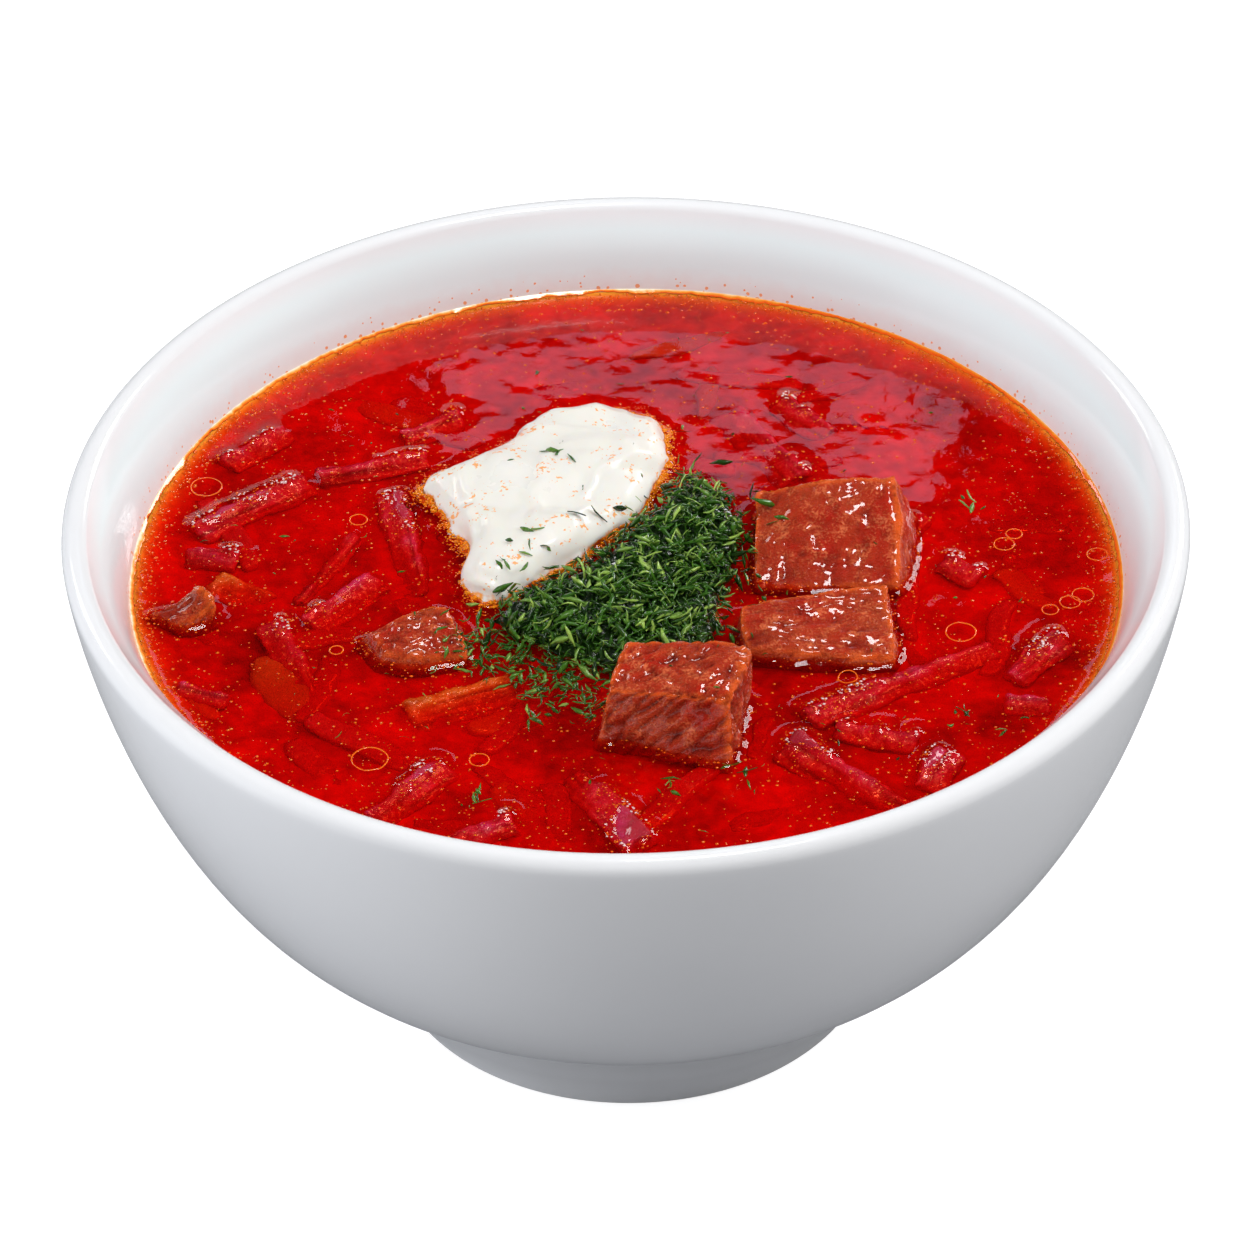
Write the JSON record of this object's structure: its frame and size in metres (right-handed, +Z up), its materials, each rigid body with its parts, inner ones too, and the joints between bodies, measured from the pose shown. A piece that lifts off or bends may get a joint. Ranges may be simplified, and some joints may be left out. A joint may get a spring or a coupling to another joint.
{
  "type": "borscht in a bowl",
  "caption": "White glazed bowl filled with red beet soup, topped with sour cream, chopped dill, beef cubes and beet strips.",
  "frame": {"origin": "centre of the foot ring's resting face, under the middle of the bowl", "axes": "+Z up, -Y towards the side that the three large beef cubes are nearest, +X to the right from there"},
  "size_m": [0.165, 0.165, 0.0838],
  "materials": {
    "glaze": "smooth glossy white glaze",
    "broth": "clear deep red broth with an orange oily edge",
    "cream": "thick smooth sour cream, softly shining",
    "herbs": "wet chopped dill",
    "beef": "stewed beef, fibrous and wet",
    "beet": "cooked beet, wet",
    "carrot": "cooked carrot, wet"
  },
  "bodies": {
    "root": {"bowl": "glaze", "broth": "broth", "sour_cream": "cream", "herb_heap": "herbs", "beef_back": "beef", "beef_middle": "beef", "beef_front": "beef", "beef_left": "beef", "beef_wall": "beef", "beet_01": "beet", "beet_02": "beet", "beet_03": "beet", "beet_04": "beet", "beet_05": "beet", "beet_06": "beet", "beet_07": "beet", "beet_08": "beet", "beet_09": "beet", "beet_10": "beet", "beet_11": "beet", "beet_12": "beet", "beet_13": "beet", "beet_14": "beet", "beet_15": "beet", "beet_16": "beet", "beet_17": "beet", "beet_18": "beet", "beet_19": "beet", "beet_20": "beet", "beet_21": "beet", "beet_22": "beet", "carrot_01": "carrot", "carrot_02": "carrot"}
  },
  "joints": []
}
